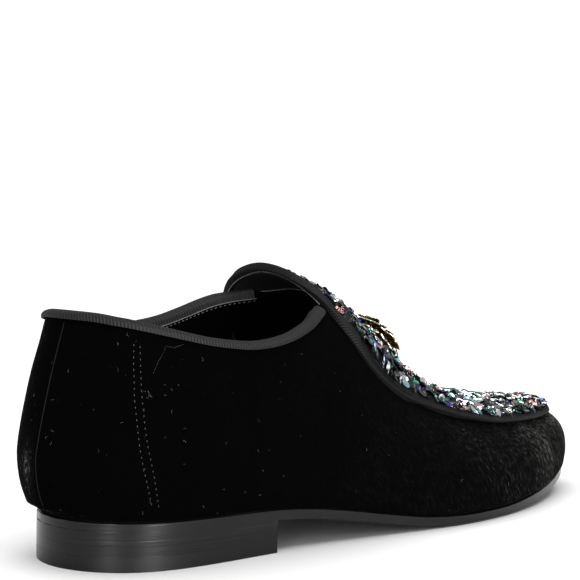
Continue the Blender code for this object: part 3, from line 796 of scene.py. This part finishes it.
def add_plug_binding(path):
    rings, edge = [], []
    for point, normal, inward in zip(*path):
        flat = min(max((point.x - TONGUE_SIDE) / TONGUE_EASE, 0), 1)
        depth = TONGUE_HALF_DEPTH + (BINDING_HALF_DEPTH - TONGUE_HALF_DEPTH) * flat
        section = rounded_section(BINDING_HALF_WIDTH, depth, BINDING_ROUNDING, 4)
        middle = point - normal * (depth - BINDING_PROUD) * MM
        rings.append([middle + inward * a * MM + normal * b * MM for a, b in section])
        edge.append(middle - (inward * (BINDING_HALF_WIDTH - 0.2) + normal * (depth + 0.15)) * MM)
    ribbon = swept_grid("plug_ribbon", rings, True, True)
    point_outwards(ribbon)
    smooth(ribbon, 60)
    # Its two tones are the painted rib highlight and the painted rib shade of the black ribbon
    dress(ribbon, "plug_binding", grosgrain("grosgrain_plug", "#111111", "#030303", 0.7, 0.075),
          replaces=["plug_binding"])
    # Painted highlight: a light grey cord along the edge of the ribbon's lower leg draws the light line
    # that edge shows under the tongue
    reach = sum(1 for p in path.points if p.x < TONGUE_SIDE) // 2
    line = [edge[k] for k in range(-reach, reach + 1)]
    highlight_cord = cord("painted_tongue_highlight", [p for p in line if p.z > TONGUE_LOW], 0.25 * MM)
    dress(highlight_cord, "plug_binding", thread("painted_tongue_highlight_grey", "#8E8E8B"))


def topline_at(x, y):
    lateral, medial = between(TOPLINE, x)
    share = (1 + y / TOPLINE_SPREAD) / 2
    return lateral * (1 - share) + medial * share


# The collar's sides run straight back to this centre, from which its back is fanned out
COLLAR_FRONT = 79.0
COLLAR_CENTRE = -3.8
COLLAR_LENGTH = COLLAR_FRONT - COLLAR_CENTRE
SIDE_STEPS = 34
BACK_STEPS = 36
COLLAR_REACH = 30 * MM
UNDER_EDGE = 1.8 * MM


def topline_path(binding):
    """Top of the collar's binding from the outer side round the heel, with its half thickness."""
    band = tree_of(binding)
    sections = []
    for k in range(SIDE_STEPS):
        sections.append((COLLAR_FRONT - COLLAR_LENGTH * k / SIDE_STEPS, -1.0, 0.0))
    for k in range(BACK_STEPS + 1):
        angle = math.pi * k / BACK_STEPS
        sections.append((COLLAR_CENTRE, -math.cos(angle), -math.sin(angle)))
    for k in range(1, SIDE_STEPS + 1):
        sections.append((COLLAR_CENTRE + COLLAR_LENGTH * k / SIDE_STEPS, 1.0, 0.0))
    middles, outs = [], []
    for x, across, along in sections:
        centre = Vector((x, spine_at(x), 0)) * MM
        heading = Vector((along, across, 0))
        guess = centre + heading * COLLAR_REACH
        height = topline_at(guess.x / MM, guess.y / MM) * MM
        low = Vector((centre.x, centre.y, height - UNDER_EDGE))
        outer = band.ray_cast(low + heading * SHOE_WIDTH, -heading)[0]
        inner = band.ray_cast(low, heading)[0]
        if outer is None or inner is None:
            continue
        middle = (outer + inner) / 2
        top = band.ray_cast(Vector((middle.x, middle.y, OVERHEAD)), -UP)[0]
        middles.append(Vector((middle.x, middle.y, top.z if top else height)))
        outs.append((outer - inner) / 2)
    return middles, outs


# The collar's ribbon in millimetres: its legs from the fold down; its near end runs in under the plug
OUTER_LEG = 2.3
INNER_LEG = 3.5
FOLD = 1.2
RIBBON_THICKNESS = 0.7
TUCK = 14 * MM
TUCK_DEPTH = 2.4 * MM
# Sections at the near end whose threads are hidden
THREADLESS = 6


def inside_plan(point, plan):
    """Whether the point lies inside the closed line, both seen from above."""
    inside = False
    for a, b in zip(plan, plan[1:] + plan[:1]):
        if (a.y > point.y) != (b.y > point.y):
            share = (point.y - a.y) / (b.y - a.y)
            if point.x < a.x + (b.x - a.x) * share:
                inside = not inside
    return inside


def add_topline_binding(binding, plan):
    middles, outs = topline_path(binding)
    while inside_plan(middles[1], plan):
        middles, outs = middles[1:], outs[1:]
    middles, outs = evened(middles, 1, False), evened(outs, 1, False)
    count = len(middles)
    lengths = [0.0]
    for a, b in zip(middles, middles[1:]):
        lengths.append(lengths[-1] + (b - a).length)
    rings, hem, lining = [], [], []
    for i, (middle, out) in enumerate(zip(middles, outs)):
        along = (middles[min(i + 1, count - 1)] - middles[max(i - 1, 0)]).normalized()
        down = along.cross(out).normalized()
        if down.z > 0:
            down = -down
        near = min(1, lengths[i] / TUCK)
        inner_leg = (INNER_LEG - FOLD) * (0.1 + 0.9 * near)
        outer_leg = (OUTER_LEG - FOLD) * (0.4 + 0.6 * near)
        out = out * (0.7 + 0.3 * near)
        middle = middle + down * TUCK_DEPTH * (1 - near)
        ring = [middle + out + down * (FOLD + outer_leg * (1 - k / 4)) * MM for k in range(4)]
        for k in range(9):
            angle = math.pi * k / 8
            ring.append(middle + out * math.cos(angle) + down * FOLD * (1 - math.sin(angle)) * MM)
        ring += [middle - out + down * (FOLD + inner_leg * k / 4) * MM for k in range(1, 5)]
        rings.append(ring)
        beside = out.normalized()
        hem.append((ring[0] + beside * 0.5 * MM - down * 0.4 * MM, beside, down))
        lining.append((ring[-1] - beside * 0.85 * MM, -beside, down))
    ribbon = swept_grid("topline_ribbon", rings, False, False)
    apply_modifier(ribbon, "SOLIDIFY", thickness=RIBBON_THICKNESS * MM, offset=1.0)
    smooth(ribbon, 60)
    # Its two tones are the painted rib highlight and the painted rib shade of the black ribbon
    dress(ribbon, "topline_binding", grosgrain("grosgrain_topline", "#1C1C1C", "#040404", -0.7, 0.11),
          replaces=["topline_binding"])
    dress(sown("topline_stitches", stitch_model(1.0, 0.16), stitched(hem, 1.0 * MM, 0.5)),
          "topline_binding", thread("hem_thread", "#5C5C5A"))
    edge = cord("lining_piping", [point for point, _, _ in lining[THREADLESS:]], 0.22 * MM)
    dress(edge, "topline_binding", thread("lining_thread", "#70706E"))
    under = [(point + down * 0.9 * MM, beside, down) for point, beside, down in lining[THREADLESS:]]
    dress(sown("lining_stitches", stitch_model(1.35, 0.2), stitched(under, 2.0 * MM, 0.0)),
          "topline_binding", thread("lining_stitch_thread", "#6E6E6C"))


SEQUIN_SIDES = 12
SEQUIN_SPACING = 2.35 * MM
SEQUIN_RADIUS = (1.4 * MM, 2.2 * MM)
SEQUIN_STRETCH = (1.0, 1.45)
SEQUIN_RISE = (0.5, 1.3)
SEQUIN_LEAN = 0.6
# Rings of a dished sequin of radius 1: reach, rise
SEQUIN_RINGS = ((1.0, 0.0), (0.62, -0.16), (0.16, -0.20))

# What the sequins are made of: share over the toe and beside the ornament, colour, how metallic, roughness
SequinRow = namedtuple("SequinRow", "name share by_ornament colour metallic roughness")
SEQUINS = [
    SequinRow("silver", 0.36, 0.18, "#F4F6F7", 1.0, 0.12),
    SequinRow("aqua", 0.15, 0.10, "#B4E6E6", 0.9, 0.14),
    SequinRow("rose", 0.06, 0.07, "#E0B4B2", 0.9, 0.16),
    SequinRow("blue", 0.07, 0.17, "#1C2A66", 0.85, 0.16),
    SequinRow("green", 0.06, 0.07, "#17503E", 0.85, 0.16),
    SequinRow("black", 0.30, 0.41, "#090A0D", 0.3, 0.10),
]
ORNAMENT_SIDE = 142 * MM

# Bare oval under the ornament: half length and half width in millimetres
BARE_OVAL = (14.5, 10.5)
# Bare hem of the tongue, and how close to the ribbon's line its first row of sequins stands
HEM = 2.6 * MM
FIRST_ROW = (BINDING_HALF_WIDTH + 0.25) * MM
# Spots tried for each sequin
TRIES = 14
# No sequin on faces that look down or inwards, or near the ribbon as deep as its lower side
LOWEST_TURN = 0.2
OUTWARD = 0.45
NEAR_RIBBON = 7 * MM
RIBBON_DEPTH = 2.6 * MM


def sequin_spots(plug, path, draw, place):
    """Spots spread over the plug inside its binding, with the normals there and how far the binding is."""
    home = place.inverted()
    points, normals, _ = path
    count = len(points)
    edge = BVHTree.FromPolygons(points + [p + UP * MM for p in points],
                                [(i, (i + 1) % count, count + i) for i in range(count)])
    faces = [f for f in plug.data.polygons if f.normal.dot(radial(f.center).normalized()) > OUTWARD]
    sums, total = [], 0.0
    for face in faces:
        total += face.area
        sums.append(total)
    spots, cells = [], {}

    def take(spot, normal, margin):
        cell = tuple(int(math.floor(c / SEQUIN_SPACING)) for c in spot)
        near = (cells.get((cell[0] + i, cell[1] + j, cell[2] + k), ())
                for i in (-1, 0, 1) for j in (-1, 0, 1) for k in (-1, 0, 1))
        if not any((spot - other).length < SEQUIN_SPACING for group in near for other in group):
            cells.setdefault(cell, []).append(spot)
            spots.append((spot, normal, margin))

    skin = tree_of(plug)
    plan = plug_plan()
    for point, _, inward in zip(*path):
        level = Vector((inward.x, inward.y, 0)).normalized()
        spot, out, _, _ = skin.ray_cast(point + level * FIRST_ROW + UP * 14 * MM, -UP, 20 * MM)
        if spot is not None and point.x > TONGUE_SIDE and out.z > LOWEST_TURN:
            take(spot, out, FIRST_ROW)
    for _ in range(int(total / SEQUIN_SPACING**2 * TRIES)):
        face = faces[bisect_left(sums, draw.random() * total)]
        corners = [plug.data.vertices[v].co for v in face.vertices]
        a, b = draw.random(), draw.random()
        if a + b > 1:
            a, b = 1 - a, 1 - b
        spot = corners[0] + (corners[1] - corners[0]) * a + (corners[2] - corners[0]) * b
        _, _, at, margin = edge.find_nearest(spot)
        local = home @ spot / MM
        bare = BINDING_HALF_WIDTH * MM + (HEM if spot.x < TONGUE_SIDE else 0)
        turned = face.normal.z < LOWEST_TURN
        sunk = (spot - points[at]).dot(normals[at]) < -RIBBON_DEPTH
        under = margin < NEAR_RIBBON and (turned or sunk)
        if (margin > bare and not under and inside_plan(spot, plan)
                and math.hypot(local.x / BARE_OVAL[0], local.y / BARE_OVAL[1]) > 1):
            take(spot, face.normal.copy(), margin)
    return spots


def add_sequins(plug, path, place):
    draw = random.Random(11)
    turns = [2 * math.pi * k / SEQUIN_SIDES for k in range(SEQUIN_SIDES)]
    rings = [[Vector((reach * math.cos(a), reach * math.sin(a), rise)) for a in turns]
             for reach, rise in SEQUIN_RINGS]
    model = swept_grid("sequin", rings, False, True)
    groups = {row.name: [] for row in SEQUINS}
    threads = []
    for spot, normal, edge in sequin_spots(plug, path, draw, place):
        by_ornament = spot.x < ORNAMENT_SIDE
        shares = [row.by_ornament if by_ornament else row.share for row in SEQUINS]
        row = draw.choices(SEQUINS, shares)[0]
        lean = any_way(draw) * SEQUIN_LEAN
        axis = (normal + lean + Vector((0.10, 0, 0))).normalized()
        radius = draw.uniform(*SEQUIN_RADIUS)
        long = draw.uniform(*SEQUIN_STRETCH)
        # Next to the ribbon they stand higher, so they lie over its edge
        rise = draw.uniform(*SEQUIN_RISE) + 0.9 * max(0, 1 - (edge / MM - BINDING_HALF_WIDTH) / 3)
        centre = spot + normal * rise * MM
        turned = placed(centre, axis.orthogonal(), axis) @ Matrix.Rotation(draw.uniform(0, math.pi), 4, "Z")
        groups[row.name].append(turned @ Matrix.Diagonal((radius * long, radius, radius, 1)))
        if draw.random() < 0.5:
            way = any_way(draw)
            threads.append(placed(centre + axis * 0.25 * MM, way - axis * way.dot(axis), axis))
    for row in SEQUINS:
        piece = sown("sequins_" + row.name, model, groups[row.name], keep=True)
        dress(piece, "plug", foil("foil_" + row.name, row.colour, row.metallic, row.roughness))
    bpy.data.objects.remove(model)
    dress(sown("sequin_threads", stitch_model(2.8, 0.16), threads), "plug",
          thread("sequin_thread", "#0C0C0C"))


def add_plug(path, place):
    plug = merged_copy("plug", "plug_net")
    smooth(plug, 40)
    faces_in(plug)
    dress(plug, "plug", mesh_ground(), felt(), replaces=["plug"])
    add_sequins(plug, path, place)


# How far the top of each lift is raised to close the gap over it; the sole's edge is rounded there
LIFT_GAP = 0.26 * MM
SEAT_GAP = 1.16 * MM


def add_lift(node, name, slot, made, gap):
    lift = merged_copy(node, name)
    middle = sum(v.co.z for v in lift.data.vertices) / len(lift.data.vertices)
    for v in lift.data.vertices:
        if v.co.z > middle:
            v.co.z += gap
    smooth(lift, 35)
    dress(lift, slot, made, replaces=[node])


def add_sole():
    leather = sole_leather()
    add_lift("heel_lift_lower", "lift_lower", "heel_lifts", leather, LIFT_GAP)
    add_lift("heel_lift_upper", "lift_upper", "heel_lifts", leather, SEAT_GAP)
    add_lift("heel_top_lift", "top_lift", "heel_top_lift", rubber(), LIFT_GAP)
    sole = merged_copy("outsole", "sole_edge")
    smooth(sole, 40)
    dress(sole, "outsole", leather, replaces=["outsole"])
    sock = merged_copy("insole", "sock")
    rounded_out(sock, 1, 60)
    smooth(sock, 50)
    dress(sock, "insole", sock_leather(), replaces=["insole"])


def smoothed(node, name):
    piece = merged_copy(node, name)
    smooth(piece, 35)
    return piece


ORNAMENT_HEIGHT = 14.0
BOSS_LENGTH = 31.0
BOSS_WIDTH = 23.0
LEAF_LENGTH = 6.0

# Rings of leaves from the foot up, in millimetres and degrees; share is of the boss's plan
Tier = namedtuple("Tier", "count share rise length tilt")
TIERS = [
    Tier(17, 0.74, 6.2, 6.4, -38),
    Tier(15, 0.55, 9.2, 6.2, -22),
    Tier(13, 0.40, 11.0, 5.4, -8),
    Tier(12, 0.355, 10.6, 2.9, 48),
]


def ornament_frame(boss, bead):
    """Frame of the ornament: its foot on the plug, Z out through the bead, X down the slope."""
    low, high = (sum((v.co for v in piece.data.vertices), Vector()) / len(piece.data.vertices)
                 for piece in (boss, bead))
    axis = high - low
    axis.y = 0
    axis.normalize()
    top = max(v.co.dot(axis) for v in bead.data.vertices)
    foot = high + axis * (top - ORNAMENT_HEIGHT * MM - high.dot(axis))
    return placed(foot, Vector((axis.z, 0, -axis.x)), axis)


def leaf_model():
    """One cast leaf, its root at the origin and its tip along X, veined and a little dished."""
    deselect()
    bpy.ops.mesh.primitive_grid_add(x_subdivisions=14, y_subdivisions=8, size=1)
    leaf = bpy.context.active_object
    leaf.name = "leaf"
    ridge = leaf.data.attributes.new("ridge", "FLOAT", "POINT")
    for v in leaf.data.vertices:
        along, across = v.co.x + 0.5, v.co.y * 2
        half = 0
        if along < 1:
            half = 1.9 * (0.30 * (1 - along) + 0.9 * math.sin(math.pi * along ** 0.85) ** 0.8)
        vein = math.exp(-(across / 0.2) ** 2)
        side = 0.5 + 0.5 * math.cos(2 * math.pi * (along * 4.5 - abs(across) * 0.9))
        rim = max(0, abs(across) - 0.72) / 0.28
        height = 0.9 * math.sin(math.pi * along * 0.8) + 0.55 * across * across
        height += 0.38 * vein * (1 - along * 0.5) + 0.22 * side * (1 - rim)
        v.co = Vector((LEAF_LENGTH * along, half * across, height)) * MM
        ridge.data[v.index].value = max(vein, 0.9 * rim, 0.62 * side)
    apply_modifier(leaf, "SOLIDIFY", thickness=0.4 * MM, offset=-1.0)
    return leaf


def add_ornament(place, boss, bead):
    brass = antique_brass()
    dress(boss, "ornament_boss", brass, replaces=["ornament_boss"])
    dress(bead, "ornament_cabochon", bead_glass(), replaces=["ornament_cabochon"])
    draw = random.Random(5)
    spots = []
    for number, tier in enumerate(TIERS):
        for k in range(tier.count):
            angle = 2 * math.pi * (k + 0.5 * (number % 2)) / tier.count
            root = Vector((BOSS_LENGTH * math.cos(angle), BOSS_WIDTH * math.sin(angle), 0)) / 2 * tier.share
            out = math.atan2(root.y, root.x)
            root.z = tier.rise
            spots.append(place @ Matrix.Translation(root * MM) @ Matrix.Rotation(out, 4, "Z")
                         @ Matrix.Rotation(-math.radians(tier.tilt + draw.uniform(-5, 5)), 4, "Y")
                         @ Matrix.Rotation(math.radians(draw.uniform(-12, 12)), 4, "X")
                         @ Matrix.Scale(tier.length / LEAF_LENGTH, 4))
    leaves = sown("brass_leaves", leaf_model(), spots)
    point_outwards(leaves)
    smooth(leaves, 50)
    dress(leaves, "ornament_boss", brass)


def photo_line(skin, turn, pixels, step):
    """The line of photograph points laid on the skin, with the skin's way out and the way down."""
    spots = [Vector((px, py, 0)) for px, py in pixels]
    length = sum((b - a).length for a, b in zip(spots, spots[1:]))
    line = []
    for spot in resampled(spots, max(2, int(length / step)), False):
        hit, normal, _, _ = skin.ray_cast(CAMERA_PLACE, sight(turn, spot.x, spot.y))
        if hit is not None:
            line.append((hit, normal, UP.cross(normal).normalized()))
    return line


def other_side(skin, line):
    """The same line on the shoe's inner side."""
    across = []
    for point, _, _ in line:
        hit, normal, _, _ = skin.ray_cast(Vector((point.x, SHOE_WIDTH, point.z)), Vector((0, -1, 0)))
        if hit is not None:
            across.append((hit, normal, UP.cross(normal).normalized()))
    return across


# Rows of stitches of the heel's counter in the photograph, and the seam at the back in millimetres
COUNTER_ROWS = [
    [(134, 342), (133.5, 362), (134.3, 387), (134.5, 400), (136, 413), (138, 433), (139.5, 446), (143, 466),
     (148, 488), (152, 507)],
    [(140, 344), (140.5, 366), (141.4, 392), (145, 428), (147.7, 446), (152, 466), (155, 482), (159, 509)],
]
SEAM_LOW = 19
SEAM_STEP = 1.75
SEAM_STEPS = 40

# Two loose hairs on the velvet
HAIRS = [
    [(184, 344), (174, 348), (165.6, 345.6), (164, 352), (158, 362), (153, 374)],
    [(147, 390), (149.5, 394), (148, 399), (146, 397)],
]


def add_seams(upper, turn, lint):
    skin = tree_of(upper)
    for row, name, code in zip(COUNTER_ROWS, ("back", "front"), ("#282827", "#1A1A19")):
        line = photo_line(skin, turn, row, 2)
        frames = []
        for side in (line, other_side(skin, line)):
            frames += stitched([(p + n * 0.05 * MM, n, d) for p, n, d in side], 2.1 * MM, 0)
        dress(sown("counter_stitches_" + name, stitch_model(0.85, 0.12), frames), "upper",
              thread("seam_thread_" + name, code))
    ridge = []
    for k in range(SEAM_STEPS):
        behind = Vector((-0.2, 0, (SEAM_LOW + SEAM_STEP * k) * MM))
        hit, normal, _, _ = skin.ray_cast(behind, Vector((1, 0, 0)))
        if hit is not None and normal.x < -0.5:
            ridge.append(hit - normal * 0.12 * MM)
    dress(cord("back_seam", ridge, 0.28 * MM), "upper", velvet_edge())
    for number, pixels in enumerate(HAIRS):
        line = evened([p + n * 0.2 * MM for p, n, _ in photo_line(skin, turn, pixels, 1)], 2, False)
        dress(cord("hair_%d" % number, line, 0.026 * MM, 4), "upper", lint)


# Where the throat's edge is looked for: from this x on, and between these points of the photograph
THROAT_FROM = 60 * MM
THROAT_SPAN = range(259, 318, 3)
THROAT_TOP = 278


def add_throat_highlight(upper, turn):
    """Painted highlight on the light edge of the vamp's throat under the tongue, where the camera sees it:
    a light grey cord.
    """
    skin = tree_of(upper)
    line = []
    for px in THROAT_SPAN:
        for step in range(80):
            hit = skin.ray_cast(CAMERA_PLACE, sight(turn, px, THROAT_TOP + step * 0.25))[0]
            if hit is not None and hit.x > THROAT_FROM:
                line.append(hit + UP * 0.1 * MM)
                break
    line = evened(line, 2, False)
    dress(cord("painted_throat_highlight", line, 0.2 * MM), "upper", thread("painted_throat_highlight_grey", "#50504E"))


LINT_COUNT = 260
LINT_HEEL = 45 * MM


def add_lint(upper, lint):
    """Lint caught on the pile, most of it near the heel."""
    draw = random.Random(23)
    fibre = cord("fibre", [Vector((-0.7, 0, 0)) * MM, Vector((-0.2, 0.25, 0.1)) * MM,
                           Vector((0.3, 0.1, 0.05)) * MM, Vector((0.6, -0.3, 0)) * MM], 0.03 * MM, 4)
    faces = [f for f in upper.data.polygons
             if f.material_index == 0 and f.area > 1e-9 and f.normal.dot(radial(f.center)) > 0]
    weights = [f.area * (1.0 if f.center.x < LINT_HEEL else 0.3) for f in faces]
    places = []
    for face in draw.choices(faces, weights, k=LINT_COUNT):
        way = any_way(draw)
        way -= face.normal * way.dot(face.normal)
        places.append(placed(face.center + face.normal * 0.12 * MM, way, face.normal)
                      @ Matrix.Scale(draw.uniform(0.3, 1.0), 4))
    dress(sown("lint", fibre, places), "upper", lint)


# The scene

turn = add_camera()
add_stage()
lint = lint_fibre()
guides = [merged_copy(name, "guide_" + name) for name in ("plug_binding", "topline_binding")]
velvet_upper = add_upper()
plug_line = plug_path(guides[0])
add_plug_binding(plug_line)
add_topline_binding(guides[1], plug_line.points)
boss, bead = smoothed("ornament_boss", "brass_rosette"), smoothed("ornament_cabochon", "glass_bead")
ornament = ornament_frame(boss, bead)
add_plug(plug_line, ornament)
add_sole()
add_ornament(ornament, boss, bead)
add_seams(velvet_upper, turn, lint)
add_throat_highlight(velvet_upper, turn)
add_lint(velvet_upper, lint)
for guide in guides:
    bpy.data.objects.remove(guide)
